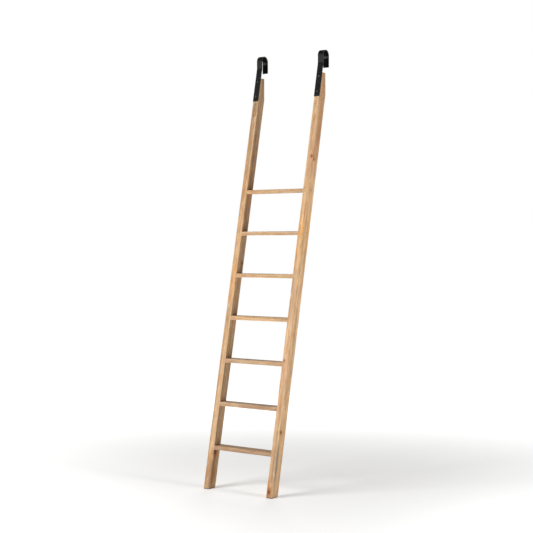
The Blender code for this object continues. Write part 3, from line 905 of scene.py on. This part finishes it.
def make_hook_screws():
    """Dome-head screws with a six-sided socket."""
    # a lighter grey than the strap, partly as painted highlight on the domes
    material = black_iron("hook_screw_black", 9.0, srgb(44, 44, 46), srgb(66, 66, 68), 0.5)
    for side in SIDES:
        for level in ("upper", "lower"):
            name = f"{side}_hook_{level}_screw"
            start, _ = hook_screw_axis(side, level)
            dome, rise = extent(name).x / 2, DOME_HEIGHT - DOME_RIM
            angles = [step * pi / 16 for step in range(9)]
            arc = [(dome * sin(angle), DOME_RIM + rise * cos(angle)) for angle in angles]
            profile = arc + [(dome, 0.00025), (dome - 0.0003, 0.0), (HOOK_SCREW_RADIUS, 0.0),
                             (HOOK_SCREW_RADIUS, -HOOK_SCREW_SHANK), (0.0, GAP - HOOK_SCREW_LENGTH)]
            profile = [(radius, z + GAP) for radius, z in profile]
            socket = bmesh.new()
            cone(socket, SOCKET_RADIUS, (0, 0, DOME_HEIGHT + 0.003), (0, 0, DOME_HEIGHT - SOCKET_DEPTH), 6)
            matrix = Matrix.Translation(start) @ Matrix.Rotation(pi / 2 - LEAN, 4, "X")
            mesh = turned_solid(name, profile, matrix, 40, socket)
            mesh.attributes.new("wear", "FLOAT", "POINT")
            show(f"{name}_dome", mesh, material, [name])


def make_pads():
    """Thin rubber pads with rounded corners."""
    material = rubber("pad_rubber")
    for side in SIDES:
        name = f"{side}_foot_pad"
        low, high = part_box(name)
        place, size = middle(name), extent(name)
        rings, wear = [], []
        for height in spaced(low[2], high[2], 0.0008, PAD_EDGE):
            inset = end_inset(min(height - low[2], high[2] - height), PAD_EDGE)
            section = rounded_section(size.x / 2 - inset, size.y / 2 - inset, [PAD_CORNER] * 4)
            rings.append([(place.x + u, place.y + v, height) for u, v, *_ in section])
            wear.append([0.0] * len(section))
        show(f"{name}_rubber", loft(name, rings, wear), material, [name])


def finish_hidden_screws():
    """Give the CAD screws under the plugs their zinc finish."""
    material = zinc_steel("rung_screw_zinc")
    for rung in RUNGS:
        for side in SIDES:
            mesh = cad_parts[f"{rung}_{side}_screw"].data
            mesh.materials.clear()
            mesh.materials.append(material)


# ---------------------------------------------------------------- stage

def make_camera():
    """Camera at the photograph's viewing angle."""
    data = bpy.data.cameras.new("camera")
    data.lens = CAMERA_LENS
    data.sensor_width = 36
    camera = bpy.data.objects.new("camera", data)
    azimuth, elevation = radians(CAMERA_AZIMUTH), radians(CAMERA_ELEVATION)
    back = Vector((sin(azimuth) * cos(elevation), -cos(azimuth) * cos(elevation), sin(elevation)))
    aim = (-back).to_track_quat("-Z", "Y").to_matrix().to_4x4()
    roll = Matrix.Rotation(radians(CAMERA_ROLL), 4, "Z")
    camera.matrix_world = Matrix.Translation(CAMERA_PLACE) @ aim @ roll
    bpy.context.scene.collection.objects.link(camera)
    bpy.context.scene.camera = camera


def make_floor():
    """Plain pale floor that glows from within like a studio's light table, dimmer under the ladder, partly
    as painted shade.
    """
    mesh = bpy.data.meshes.new("floor")
    solid = bmesh.new()
    bmesh.ops.create_circle(solid, cap_ends=True, segments=96, radius=60)
    solid.to_mesh(mesh)
    solid.free()
    floor = bpy.data.objects.new("floor", mesh)
    bpy.context.scene.collection.objects.link(floor)
    shader = Shader("floor_pale")
    shader.surface.inputs["Base Color"].default_value = srgb(240, 240, 239)
    shader.surface.inputs["Roughness"].default_value = 0.8
    shader.surface.inputs["Specular IOR Level"].default_value = 0.2
    shader.surface.inputs["Emission Color"].default_value = (1, 1, 1, 1)
    place = shader.node("TexCoord", {}).outputs["Object"]
    distance = shader.node("VectorMath", {0: place}, operation="LENGTH").outputs["Value"]
    glow = shader.step(distance, *FLOOR_GLOW_REACH, *FLOOR_GLOW)
    shader.feed(shader.surface.inputs["Emission Strength"], glow)
    mesh.materials.append(shader.material)


def make_lamp(name, place, target, size, power, colour=(1, 1, 1)):
    """One soft rectangular lamp."""
    data = bpy.data.lights.new(name, "AREA")
    data.shape = "RECTANGLE"
    data.size, data.size_y = size
    data.energy = power
    data.color = colour
    lamp = bpy.data.objects.new(name, data)
    lamp.location = place
    lamp.rotation_euler = (Vector(target) - Vector(place)).to_track_quat("-Z", "Y").to_euler()
    lamp.visible_camera = False
    bpy.context.scene.collection.objects.link(lamp)


def make_world():
    """White surroundings that light the ladder only gently."""
    world = bpy.data.worlds.new("studio")
    world.use_nodes = True
    tree = world.node_tree
    background = tree.nodes["Background"]
    ray = tree.nodes.new("ShaderNodeLightPath")
    strength = tree.nodes.new("ShaderNodeMapRange")
    strength.inputs["To Min"].default_value = SKY_LIGHT
    strength.inputs["To Max"].default_value = 1.0
    tree.links.new(ray.outputs["Is Camera Ray"], strength.inputs["Value"])
    tree.links.new(strength.outputs[0], background.inputs["Strength"])
    background.inputs["Color"].default_value = (1, 1, 1, 1)
    bpy.context.scene.world = world
    bpy.context.scene.view_settings.view_transform = "Standard"


def make_light():
    """Soft key from the front left, a tall strip on the right and a weak lamp behind."""
    make_lamp("key", (-1.35, -2.75, 1.75), (0, -0.05, 1.15), (1.5, 1.9), KEY_POWER)
    middle_y = front_y(1.25) + LEVEL_DEPTH / 2
    make_lamp("strip", (2.6, middle_y, 1.25), (0, middle_y, 1.25), (0.2, 2.3), STRIP_POWER)
    make_lamp("back", (-1.8, 3.4, 2.6), (0, 0, 1.2), (1.6, 1.6), BACK_POWER)
    make_world()


make_camera()
make_stringers()
make_rungs()
make_plugs()
make_hooks()
make_hook_screws()
make_pads()
finish_hidden_screws()
make_floor()
make_light()
